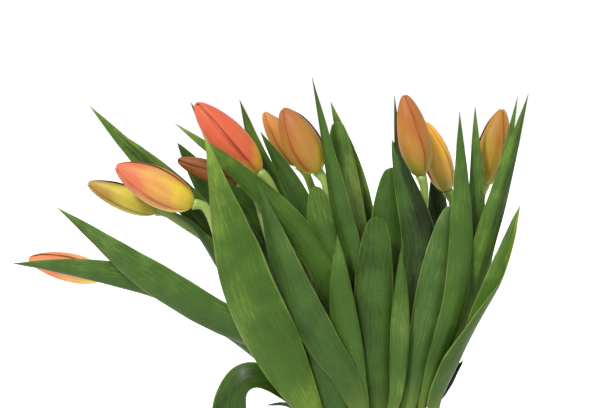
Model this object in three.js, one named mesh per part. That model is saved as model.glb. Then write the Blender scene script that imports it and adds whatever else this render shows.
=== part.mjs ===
// Ten cut tulips with their leaves, standing in a plain glazed ceramic vase.
// Millimetres, +Z up. The origin is the middle of the vase's foot, on the surface that it stands on.
// The front of the bouquet faces -Y.
import * as THREE from 'three';

// Vase
const VASE_HEIGHT = 190;
const FOOT_RADIUS = 38;
const BELLY_RADIUS = 56;
const NECK_RADIUS = 42;
const RIM_RADIUS = 45;
const WALL = 4.5;
const FLOOR_THICKNESS = 7;
const VASE_SIDES = 40;

// Stems
const STEM_DIAMETER = 6.5;
const STEM_SIDES = 8;
const STEM_STEP = 22;
const STEM_FOOT_HEIGHT = 11;
const STEM_FOOT_SPREAD = 0.72;
const BUD_GAP = 0.6;
const BUD_NECK = 12;

// Leaves
const LEAF_THICKNESS = 1.3;
const LEAF_STEP = 22;
const LEAF_BASE_SHARE = 0.3;
const TIP_SHARE = 0.04;

// Buds
const BUD_SIDES = 10;
const BUD_RINGS = 8;

const LEAF_GREEN = 0x4f8036;
const STEM_GREEN = 0x7fa64a;
const GLAZE = 0xece7dc;

// Each tulip: where its stem crosses the rim, the points that it bends through above the rim,
// and the closed bud on its end, from where the petals start to their tip.
const TULIPS = [
  { name: 'far_left', rim: [-34, -2], bend: [[-66, 6, 247], [-118, 4, 291]],
    bud: { base: [-182, -6, 308], tip: [-235, -6, 320], width: 19, colour: 0xe59a63 } },
  { name: 'left_yellow', rim: [-22, 14], bend: [[-48, 16, 240], [-94, 13, 314]],
    bud: { base: [-146, 8, 352], tip: [-195, 8, 372], width: 17, colour: 0xd9c25e } },
  { name: 'left_peach', rim: [-24, -17], bend: [[-46, -16, 240], [-88, -18, 300]],
    bud: { base: [-119, -16, 359], tip: [-172, -16, 386], width: 25, colour: 0xe8a06c } },
  { name: 'left_coral', rim: [-9, 3], bend: [[-22, 6, 250], [-50, 6, 330]],
    bud: { base: [-74, 0, 380], tip: [-118, 0, 428], width: 24, colour: 0xe4745a } },
  { name: 'left_shaded', rim: [-9, -23], bend: [[-28, -22, 240], [-62, -12, 320]],
    bud: { base: [-89, 0, 373], tip: [-131, 0, 389], width: 14, colour: 0xb5713b } },
  { name: 'middle_back', rim: [2, 16], bend: [[-8, 22, 260], [-28, 24, 335]],
    bud: { base: [-46, 22, 383], tip: [-71, 22, 421], width: 16, colour: 0xe39a55 } },
  { name: 'middle_orange', rim: [6, -14], bend: [[-5, -10, 250], [-25, -7, 335]],
    bud: { base: [-33, -11, 381], tip: [-57, -11, 425], width: 25, colour: 0xdf9455 } },
  { name: 'right_orange', rim: [20, -14], bend: [[32, -10, 260], [38, -3, 325]],
    bud: { base: [39, 2, 377], tip: [27, 2, 434], width: 21.5, colour: 0xe28a4e } },
  { name: 'right_yellow', rim: [17, 12], bend: [[34, 20, 260], [54, 25, 325]],
    bud: { base: [60, 25, 364], tip: [43, 25, 414], width: 19, colour: 0xe0a94f } },
  { name: 'far_right', rim: [32, -1], bend: [[56, 3, 250], [78, 8, 320]],
    bud: { base: [84, 8, 370], tip: [96, 8, 424], width: 21, colour: 0xdc9a52 } },
];

// Each leaf: its full width, how far along it is widest, and how blunt its tip is; its turn and its
// fold, in degrees, at even steps from sheath to tip; and the points of its midrib.
// A turn of 0 has the hollow side facing the front, 90 up or to the right, 180 the back.
// A fold of 0 is flat; the number is how far each margin turns up.
const LEAVES = [
  { name: 'front_left_broad', width: 40, widest: 0.42, blunt: 0.95,
    turn: [180, 175, 165, 150], fold: [45, 35, 30, 50],
    rib: [[-31, -28, 203], [-40, -34, 221], [-58, -42, 256], [-78, -47, 298], [-89, -48, 332],
      [-100, -44, 370], [-109, -40, 408]] },
  { name: 'front_left_second', width: 26, widest: 0.5, blunt: 0.9,
    turn: [180, 175, 165, 150], fold: [40, 35, 30, 40],
    rib: [[-2, -36, 206], [-14, -41, 242], [-30, -43, 267], [-47, -42, 298], [-60, -40, 331],
      [-74, -32, 375]] },
  { name: 'front_left_short', width: 26, widest: 0.4, blunt: 0.9,
    turn: [180, 175, 170], fold: [40, 35, 40],
    rib: [[-16, -30, 205], [-23, -32, 232], [-32, -34, 252], [-41, -35, 276]] },
  { name: 'front_middle_narrow', width: 20, widest: 0.5, blunt: 0.9,
    turn: [180, 175, 170], fold: [40, 35, 40],
    rib: [[-1, -30, 216], [-8, -35, 246], [-17, -35, 292], [-20, -33, 340]] },
  { name: 'front_middle_broad', width: 30, widest: 0.5, blunt: 0.35,
    turn: [180, 180, 175], fold: [40, 35, 30],
    rib: [[9, -23, 204], [8, -27, 225], [6, -30, 265], [5, -30, 300], [7, -27, 352]] },
  { name: 'bright_strap', width: 21, widest: 0.45, blunt: 0.9,
    turn: [150, 190, 200, 190], fold: [40, 35, 35, 60],
    rib: [[-2, -20, 226], [-25, -23, 306], [-50, -23, 346], [-90, -22, 385], [-130, -22, 415]] },
  { name: 'low_left_long', width: 27, widest: 0.45, blunt: 0.95,
    turn: [120, 160, 170, 160], fold: [45, 30, 30, 40],
    rib: [[-51, -10, 233], [-83, -28, 269], [-130, -36, 300], [-168, -37, 327], [-210, -32, 359]] },
  { name: 'low_left_outer', width: 20, widest: 0.6, blunt: 0.9,
    turn: [110, 165, 170, 160], fold: [45, 35, 30, 40],
    rib: [[-51, -3, 221], [-91, -10, 266], [-121, -18, 291], [-160, -22, 308], [-205, -23, 316],
      [-243, -21, 319]] },
  { name: 'drooping', width: 30, widest: 0.7, blunt: 0.7,
    turn: [110, 60, 25, 15], fold: [40, 35, 35, 40],
    rib: [[-40, -18, 205], [-58, -22, 226], [-75, -25, 239], [-88, -25, 233], [-92, -25, 210],
      [-88, -25, 168]] },
  { name: 'low_left_small', width: 9, widest: 0.4, blunt: 0.9,
    turn: [120, 120], fold: [30, 30],
    rib: [[-38, -6, 203], [-54, -5, 215], [-70, -6, 216]] },
  { name: 'upper_left_back', width: 18, widest: 0.6, blunt: 0.9,
    turn: [30, 20, 10], fold: [40, 35, 40],
    rib: [[-30, 23, 222], [-73, 25, 287], [-122, 22, 350], [-159, 20, 387], [-194, 20, 425]] },
  { name: 'upper_left_front', width: 17, widest: 0.6, blunt: 0.9,
    turn: [40, 30, 20], fold: [50, 45, 50],
    rib: [[-26, 7, 226], [-67, 6, 289], [-109, 8, 344], [-144, 10, 381], [-177, 10, 410]] },
  { name: 'lower_left_dark', width: 17, widest: 0.55, blunt: 0.8,
    turn: [100, 120, 130], fold: [40, 35, 40],
    rib: [[-34, 4, 232], [-77, -2, 272], [-100, -3, 310], [-118, -3, 339], [-138, -3, 355]] },
  { name: 'middle_behind_strap', width: 19, widest: 0.6, blunt: 0.9,
    turn: [5, 5, 5], fold: [40, 35, 40],
    rib: [[-13, 1, 228], [-16, 1, 270], [-31, 1, 315], [-48, 3, 364], [-73, 4, 408]] },
  { name: 'middle_light_broad', width: 26, widest: 0.55, blunt: 0.4,
    turn: [170, 175, 175], fold: [35, 30, 35],
    rib: [[-12, -10, 232], [-16, -17, 264], [-23, -17, 306], [-30, -14, 341], [-35, -16, 372]] },
  { name: 'back_left_tall', width: 18, widest: 0.6, blunt: 0.9,
    turn: [0, 10, 10], fold: [45, 40, 45],
    rib: [[-10, 12, 226], [-21, 14, 267], [-40, 15, 324], [-72, 15, 384], [-88, 15, 430]] },
  { name: 'tallest', width: 18, widest: 0.5, blunt: 1,
    turn: [120, 160, 150, 130], fold: [50, 45, 55, 60],
    rib: [[11, -13, 222], [4, -20, 272], [-10, -22, 322], [-23, -24, 375], [-37, -22, 446]] },
  { name: 'behind_tallest_rounded', width: 24, widest: 0.6, blunt: 0.35,
    turn: [180, 180, 180], fold: [35, 30, 40],
    rib: [[0, 7, 224], [-2, -4, 291], [-12, -8, 355], [-20, -7, 416]] },
  { name: 'behind_tallest_pointed', width: 20, widest: 0.6, blunt: 0.95,
    turn: [0, 0, 0], fold: [35, 30, 40],
    rib: [[6, 22, 224], [10, 12, 266], [3, 8, 317], [-9, 4, 380], [-24, 4, 429]] },
  { name: 'right_of_middle_rounded', width: 24, widest: 0.65, blunt: 0.35,
    turn: [180, 180, 185], fold: [35, 30, 35],
    rib: [[14, 4, 224], [16, -5, 262], [14, -11, 330], [18, -6, 384]] },
  { name: 'behind_orange_bud', width: 11, widest: 0.5, blunt: 0.9,
    turn: [10, 10], fold: [35, 35],
    rib: [[11, 17, 222], [26, 14, 266], [28, 16, 330], [21, 16, 433]] },
  { name: 'dark_middle_right', width: 28, widest: 0.55, blunt: 0.8,
    turn: [180, 180, 190], fold: [40, 40, 45],
    rib: [[21, -22, 208], [33, -24, 260], [37, -25, 301], [36, -23, 340], [18, -13, 403]] },
  { name: 'front_right_short', width: 14, widest: 0.5, blunt: 0.9,
    turn: [180, 180], fold: [35, 35],
    rib: [[15, -32, 206], [21, -35, 235], [23, -37, 289], [23, -36, 332]] },
  { name: 'right_rounded', width: 27, widest: 0.6, blunt: 0.4,
    turn: [185, 185, 190], fold: [40, 35, 40],
    rib: [[27, -27, 210], [38, -30, 256], [48, -30, 305], [59, -20, 359]] },
  { name: 'right_tall_inner', width: 19, widest: 0.5, blunt: 1,
    turn: [190, 190, 190], fold: [40, 40, 45],
    rib: [[37, -23, 212], [47, -36, 250], [61, -38, 300], [65, -31, 350], [63, -22, 423]] },
  { name: 'right_tall_behind', width: 13, widest: 0.6, blunt: 0.9,
    turn: [180, 180, 180], fold: [35, 35, 40],
    rib: [[38, -7, 224], [54, -11, 246], [70, -14, 285], [76, -17, 350], [75, -9, 426]] },
  { name: 'right_tall_outer', width: 17, widest: 0.55, blunt: 1,
    turn: [200, 190, 185, 180], fold: [50, 40, 45, 55],
    rib: [[42, -9, 216], [56, -17, 244], [74, -26, 300], [81, -31, 335], [89, -33, 365], [109, -25, 435]] },
  { name: 'right_tip_behind', width: 10, widest: 0.6, blunt: 0.9,
    turn: [180, 180], fold: [35, 35],
    rib: [[44, -4, 228], [72, -7, 285], [86, -12, 335], [104, -10, 433]] },
  { name: 'far_right_channel', width: 30, widest: 0.4, blunt: 0.85,
    turn: [235, 240, 290, 310], fold: [60, 55, 50, 45],
    rib: [[48, -16, 206], [52, -32, 230], [65, -44, 263], [90, -36, 312], [105, -22, 359]] },
  { name: 'low_right_dark', width: 16, widest: 0.4, blunt: 0.8,
    turn: [300, 300], fold: [35, 35],
    rib: [[32, 10, 206], [54, 6, 221], [70, 2, 246]] },
  { name: 'behind_left_buds', width: 24, widest: 0.7, blunt: 0.8,
    turn: [180, 180], fold: [35, 35],
    rib: [[-22, 30, 218], [-60, 36, 285], [-105, 38, 355], [-134, 38, 398]] },
  { name: 'behind_coral_bud', width: 14, widest: 0.6, blunt: 0.8,
    turn: [180, 180], fold: [35, 35],
    rib: [[-10, 32, 222], [-50, 43, 290], [-95, 46, 370], [-125, 46, 427]] },
  { name: 'behind_yellow_bud', width: 17, widest: 0.7, blunt: 0.8,
    turn: [180, 180], fold: [35, 35],
    rib: [[36, 12, 223], [46, 28, 265], [55, 37, 325], [52, 40, 385]] },
];

const radians = THREE.MathUtils.degToRad;

// A smooth curve through the points.
function curveThrough(points) {
  const vectors = points.map((point) => new THREE.Vector3(...point));
  return new THREE.CatmullRomCurve3(vectors, false, 'catmullrom');
}

// The value a share of the way along a list of evenly spaced values.
function valueAlong(values, share) {
  const place = share * (values.length - 1);
  const index = Math.min(Math.floor(place), values.length - 2);
  return THREE.MathUtils.lerp(values[index], values[index + 1], place - index);
}

// A closed body skinned over rings that all have the same even number of points, running
// anticlockwise seen from the end. The two halves of a ring split their four-sided faces along the
// same diagonal, so the two sides of a thin twisted body stay parallel. Each cap is a strip
// between the two halves of its ring.
function loftGeometry(rings) {
  const around = rings[0].length;
  const lastRing = (rings.length - 1) * around;
  const faces = [];
  for (let ring = 0; ring < lastRing; ring += around) {
    for (let i = 0; i < around; i++) {
      const here = ring + i;
      const next = ring + (i + 1) % around;
      if (i < around / 2) {
        faces.push(here, next, next + around, here, next + around, here + around);
      } else {
        faces.push(here, next, here + around, next, next + around, here + around);
      }
    }
  }
  const addCapFace = (a, b, c) => {
    faces.push(a, c, b);
    faces.push(lastRing + a, lastRing + b, lastRing + c);
  };
  for (let i = 1; i < around / 2; i++) {
    addCapFace(i - 1, i, around - i);
    addCapFace(i, around - i - 1, around - i);
  }
  const geometry = new THREE.BufferGeometry().setFromPoints(rings.flat());
  geometry.setIndex(faces);
  geometry.computeVertexNormals();
  return geometry;
}

// The vase, turned from one closed section: foot, belly, neck, rolled rim, and back down inside.
function vaseGeometry() {
  const outside = new THREE.SplineCurve([
    new THREE.Vector2(FOOT_RADIUS, 0),
    new THREE.Vector2(FOOT_RADIUS + 8, VASE_HEIGHT * 0.12),
    new THREE.Vector2(BELLY_RADIUS, VASE_HEIGHT * 0.4),
    new THREE.Vector2(NECK_RADIUS + 4, VASE_HEIGHT * 0.72),
    new THREE.Vector2(NECK_RADIUS, VASE_HEIGHT * 0.88),
    new THREE.Vector2(RIM_RADIUS, VASE_HEIGHT - 1.5),
  ]).getPoints(16);
  const rim = [
    new THREE.Vector2(RIM_RADIUS - 1, VASE_HEIGHT),
    new THREE.Vector2(RIM_RADIUS - WALL + 1, VASE_HEIGHT),
  ];
  const inside = outside
    .filter((point) => point.y > FLOOR_THICKNESS + 4)
    .map((point) => new THREE.Vector2(point.x - WALL, point.y))
    .reverse();
  const well = [
    new THREE.Vector2(FOOT_RADIUS - WALL, FLOOR_THICKNESS),
    new THREE.Vector2(0, FLOOR_THICKNESS),
  ];
  const profile = [new THREE.Vector2(0, 0), ...outside, ...rim, ...inside, ...well];
  const geometry = new THREE.LatheGeometry(profile, VASE_SIDES);
  geometry.rotateX(Math.PI / 2);
  return geometry;
}

// A round stem swept along its curve, from near the vase's floor to just under the bud.
function stemGeometry({ rim, bend, bud }) {
  const base = new THREE.Vector3(...bud.base);
  const axis = base.clone().sub(new THREE.Vector3(...bud.tip)).normalize();
  const top = base.clone().addScaledVector(axis, BUD_GAP);
  const neck = base.clone().addScaledVector(axis, BUD_NECK);
  const foot = [rim[0] * STEM_FOOT_SPREAD, rim[1] * STEM_FOOT_SPREAD, STEM_FOOT_HEIGHT];
  const path = curveThrough([foot, [...rim, VASE_HEIGHT], ...bend, neck.toArray(), top.toArray()]);
  const section = new THREE.Shape();
  section.absarc(0, 0, STEM_DIAMETER / 2, 0, Math.PI * 2);
  const steps = Math.round(path.getLength() / STEM_STEP);
  return new THREE.ExtrudeGeometry(section, {
    steps, extrudePath: path, curveSegments: STEM_SIDES / 2,
  });
}

// How wide a bud is, as a share of its full width, a share of the way from base to tip.
function budShare(share) {
  return Math.pow(Math.sin(Math.PI * Math.pow(share, 0.72)), 0.75);
}

// A closed bud: one egg-shaped body on the straight line from its base to its tip.
function budGeometry({ base, tip, width }) {
  const start = new THREE.Vector3(...base);
  const end = new THREE.Vector3(...tip);
  const axis = end.clone().sub(start).normalize();
  const across = new THREE.Vector3(0, 1, 0).addScaledVector(axis, -axis.y).normalize();
  const along = axis.clone().cross(across);
  const rings = [];
  for (let i = 0; i <= BUD_RINGS; i++) {
    const share = THREE.MathUtils.lerp(0.012, 0.988, i / BUD_RINGS);
    const radius = width / 2 * budShare(share);
    const middle = start.clone().lerp(end, i / BUD_RINGS);
    const ring = [];
    for (let side = 0; side < BUD_SIDES; side++) {
      const angle = side / BUD_SIDES * Math.PI * 2;
      ring.push(middle.clone()
        .addScaledVector(across, Math.cos(angle) * radius)
        .addScaledVector(along, Math.sin(angle) * radius));
    }
    rings.push(ring);
  }
  return loftGeometry(rings);
}

// Half a leaf's width as a share of its widest: a sheath that opens to the widest place,
// then a quarter wave down to the tip.
function leafShare(share, widest, blunt) {
  if (share < widest) {
    return LEAF_BASE_SHARE + (1 - LEAF_BASE_SHARE) * Math.sin(Math.PI / 2 * share / widest);
  }
  const past = (share - widest) / (1 - widest);
  return Math.max(TIP_SHARE, Math.pow(Math.cos(Math.PI / 2 * past), blunt));
}

// One cross-section of a leaf: an arc across the midrib, thick in the middle and sharp at the margins.
function leafSection(middle, tangent, turn, fold, halfWidth) {
  const front = new THREE.Vector3(0, -1, 0).addScaledVector(tangent, tangent.y).normalize();
  const hollow = front.applyAxisAngle(tangent, radians(turn));
  const side = tangent.clone().cross(hollow);
  const bend = radians(fold);
  const point = (across, lift) => {
    const angle = bend * across;
    const outward = halfWidth * Math.sin(angle) / bend - lift * Math.sin(angle);
    const upward = halfWidth * (1 - Math.cos(angle)) / bend + lift * Math.cos(angle);
    return middle.clone().addScaledVector(side, outward).addScaledVector(hollow, upward);
  };
  const half = LEAF_THICKNESS / 2;
  return [
    point(-1, 0), point(-0.5, half * 0.8), point(0, half), point(0.5, half * 0.8),
    point(1, 0), point(0.5, -half * 0.8), point(0, -half), point(-0.5, -half * 0.8),
  ];
}

// A leaf: its sections strung along the midrib.
function leafGeometry({ width, widest, blunt, turn, fold, rib }) {
  const curve = curveThrough(rib);
  const steps = Math.max(9, Math.round(curve.getLength() / LEAF_STEP));
  const sections = [];
  for (let i = 0; i <= steps; i++) {
    const share = i / steps;
    const halfWidth = width / 2 * leafShare(share, widest, blunt);
    sections.push(leafSection(
      curve.getPointAt(share), curve.getTangentAt(share),
      valueAlong(turn, share), valueAlong(fold, share), halfWidth,
    ));
  }
  return loftGeometry(sections);
}

function addPiece(group, name, geometry, color, roughness) {
  const material = new THREE.MeshStandardMaterial({ color, roughness, metalness: 0 });
  const mesh = new THREE.Mesh(geometry, material);
  mesh.name = name;
  group.add(mesh);
}

const bouquet = new THREE.Group();
addPiece(bouquet, 'vase', vaseGeometry(), GLAZE, 0.2);
for (const tulip of TULIPS) {
  addPiece(bouquet, `stem_${tulip.name}`, stemGeometry(tulip), STEM_GREEN, 0.5);
  addPiece(bouquet, `bud_${tulip.name}`, budGeometry(tulip.bud), tulip.bud.colour, 0.45);
}
for (const leaf of LEAVES) {
  addPiece(bouquet, `leaf_${leaf.name}`, leafGeometry(leaf), LEAF_GREEN, 0.45);
}

export default bouquet;
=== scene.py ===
import math

import bpy
import numpy as np
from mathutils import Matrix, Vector


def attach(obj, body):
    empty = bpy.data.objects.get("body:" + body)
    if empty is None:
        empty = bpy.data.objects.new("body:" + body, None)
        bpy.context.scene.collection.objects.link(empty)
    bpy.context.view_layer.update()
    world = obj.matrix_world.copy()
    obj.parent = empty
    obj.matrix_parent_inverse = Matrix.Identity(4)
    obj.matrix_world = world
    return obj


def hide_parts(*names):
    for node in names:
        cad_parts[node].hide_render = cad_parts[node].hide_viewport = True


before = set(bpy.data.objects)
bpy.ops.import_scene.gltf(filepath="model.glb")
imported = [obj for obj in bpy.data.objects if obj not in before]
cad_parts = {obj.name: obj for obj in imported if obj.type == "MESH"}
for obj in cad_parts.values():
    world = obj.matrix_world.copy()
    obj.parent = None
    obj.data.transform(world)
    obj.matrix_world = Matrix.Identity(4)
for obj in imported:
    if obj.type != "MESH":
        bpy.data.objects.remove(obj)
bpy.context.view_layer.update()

bl_info = {
    "name": "Tulips in a Vase",
    "version": (1, 0, 0),
    "blender": (4, 5, 0),
    "location": "View3D > Sidebar > Tulips",
    "description": "Builds a bouquet of closed tulips with long leaves in a glazed ceramic vase",
    "category": "Add Mesh",
}

BODY = "root"
MM = 0.001
SEED = 7

# Grid sizes of the surfaces
LEAF_ROWS = 110
LEAF_COLUMNS = 25
PETAL_ROWS = 52
PETAL_COLUMNS = 31
STEM_ROWS = 90
STEM_SIDES = 28
VASE_SIDES = 144
CURVE_SAMPLES = 40

# Vase, in millimetres
VASE_HEIGHT = 190
FOOT_RADIUS = 38
BELLY_RADIUS = 56
NECK_RADIUS = 42
RIM_RADIUS = 45
WALL = 4.5
FLOOR_THICKNESS = 7

# Stems, in millimetres
STEM_FOOT_HEIGHT = 11
STEM_FOOT_SPREAD = 0.72
BUD_NECK = 12
STEM_RADIUS = 3.15

# Leaf blades, in millimetres, or as shares of the width or length
LEAF_THICKNESS = 0.5
LEAF_EDGE = 0.02
SHEATH_OPENING = 0.3
TIP_SHARE = 0.012
WAVE_SHARE = 0.045
KEEL_DEPTH = 0.5
KEEL_WIDTH = 1.4
RIDGE_DEPTH = 0.10
RIDGE_SPACING = 3.1
HALVES_BLEND = 2.2

# Leaf sheaths, in millimetres and degrees
HEEL_OFFSET = 4.2
HEEL_DEPTH = 5
CLASP_WIDTH = 7
CLASP_FOLD = 75

# Petals, in millimetres, degrees and shares of the length
PETAL_THICKNESS = 0.42
PETAL_EDGE = 0.03
PETAL_PLACES = (0, 0.25, 0.6, 0.85, 1)
PETAL_HALF_ANGLES = (80, 78, 70, 62, 50)
PETAL_SPACING = 120
OVERLAP_RISE = 1.0
RIB_RISE = 0.25
RIB_WIDTH = 0.07
RIPPLE_RISE = 0.12
INNER_DROP = 1.3
# Width of the painted shadow beside a seam, as a share of a petal's half angle
SEAM_WIDTH = 0.13

# Stage, in metres and degrees
FLOOR_HALF = 6.0
FLOOR_STEPS = 40
FLOOR_GAP = 0.0004
LENS_MM = 85
SENSOR_MM = 36
CAMERA_AIM = (-0.0413, 0.0, 0.3578)
CAMERA_DISTANCE = 1.010
CAMERA_DOWN = 6


def petals(skin, slot, seam, over, tip_colour, body_colour, base_colour, edge_colour):
    """A bud's petals: their skin's name and record slot (the slot is not used), the angle in degrees
    at which the front seam runs, which side lies over, and the four colours that run into one another."""
    return dict(skin=skin, slot=slot, seam=seam, over=over, tip_colour=tip_colour,
                body_colour=body_colour, base_colour=base_colour, edge_colour=edge_colour)


def tulip(name, rim, bend, base, tip, width, look):
    """One tulip: where its stem crosses the rim, the points that it bends through, and the
    closed bud on its end from base to tip, all in millimetres."""
    return dict(name=name, rim=rim, bend=bend, base=base, tip=tip, width=width, look=look)


def leaf(name, width, widest, blunt, left, right, warmth, margin, crease, turn, fold, midrib):
    """One leaf in millimetres and degrees: full width, share of its length where it is widest and
    bluntness of its tip; then lists at even steps from sheath to tip of the painted light and shade
    on its left and right halves, its turn, its fold and its midrib. Warmth runs from grey-green to
    yellow-green; margin and crease are how strong its pale edge and dark marks are."""
    return dict(name=name, width=width, widest=widest, blunt=blunt, left=left, right=right,
                warmth=warmth, margin=margin, crease=crease, turn=turn, fold=fold, midrib=midrib)


TULIPS = (
    tulip("far_left", (-34, -2), ((-66, 6, 247), (-118, 4, 291)), (-182, -6, 308), (-235, -6, 320),
          19, petals("peach_low", "petal_peach", -60, 1,
                     "bd6d48", "c8975e", "cbb745", "b9622f")),
    tulip("left_yellow", (-22, 14), ((-48, 16, 240), (-94, 13, 314)), (-146, 8, 352),
          (-195, 8, 372), 17, petals("yellow_green", "petal_yellow", -38, 1,
                                     "8d712a", "b5ab3f", "9a9a20", "6a4114")),
    tulip("left_peach", (-24, -17), ((-46, -16, 240), (-88, -18, 300)), (-119, -16, 359),
          (-172, -16, 386), 25, petals("peach", "petal_peach", -38, 1,
                                       "af5c3d", "b48942", "c5b725", "9c3a16")),
    tulip("left_coral", (-9, 3), ((-22, 6, 250), (-50, 6, 330)), (-74, 0, 380), (-118, 0, 428),
          24, petals("coral", "petal_coral", 8, 1,
                     "b04e31", "b55433", "be9923", "7c1e10")),
    # This bud's dark brown colours are its orange petals painted in shade.
    tulip("left_shaded", (-9, -23), ((-28, -22, 240), (-62, -12, 320)), (-89, 0, 373),
          (-131, 0, 389), 14, petals("orange_in_painted_shade", "petal_brown", 10, -1,
                                     "744017", "734717", "675d15", "4c200c")),
    tulip("middle_back", (2, 16), ((-8, 22, 260), (-28, 24, 335)), (-46, 22, 383), (-71, 22, 421),
          16, petals("salmon", "petal_orange", -30, 1,
                     "aa6f33", "ab7c35", "a99b2b", "8a4018")),
    tulip("middle_orange", (6, -14), ((-5, -10, 250), (-25, -7, 335)), (-33, -11, 381),
          (-57, -11, 425), 25, petals("tan_orange", "petal_orange", -34, 1,
                                      "8a5322", "906825", "97901d", "7c2e0c")),
    tulip("right_orange", (20, -14), ((32, -10, 260), (38, -3, 325)), (39, 2, 377), (27, 2, 434),
          21.5, petals("orange", "petal_orange", 22, -1,
                       "8f5521", "966c28", "82821c", "7e2e10")),
    tulip("right_yellow", (17, 12), ((34, 20, 260), (54, 25, 325)), (60, 25, 364), (43, 25, 414),
          19, petals("yellow_orange", "petal_yellow", 44, -1,
                     "cf9b30", "c49a44", "98923a", "a04e1c")),
    tulip("far_right", (32, -1), ((56, 3, 250), (78, 8, 320)), (84, 8, 370), (96, 8, 424),
          21, petals("gold_orange", "petal_orange", 30, -1,
                     "91631e", "917721", "8c9123", "6e4014")),
)

# In each leaf, left and right give the painted light and shade on the two halves of the blade, sheath to
# tip.
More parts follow.
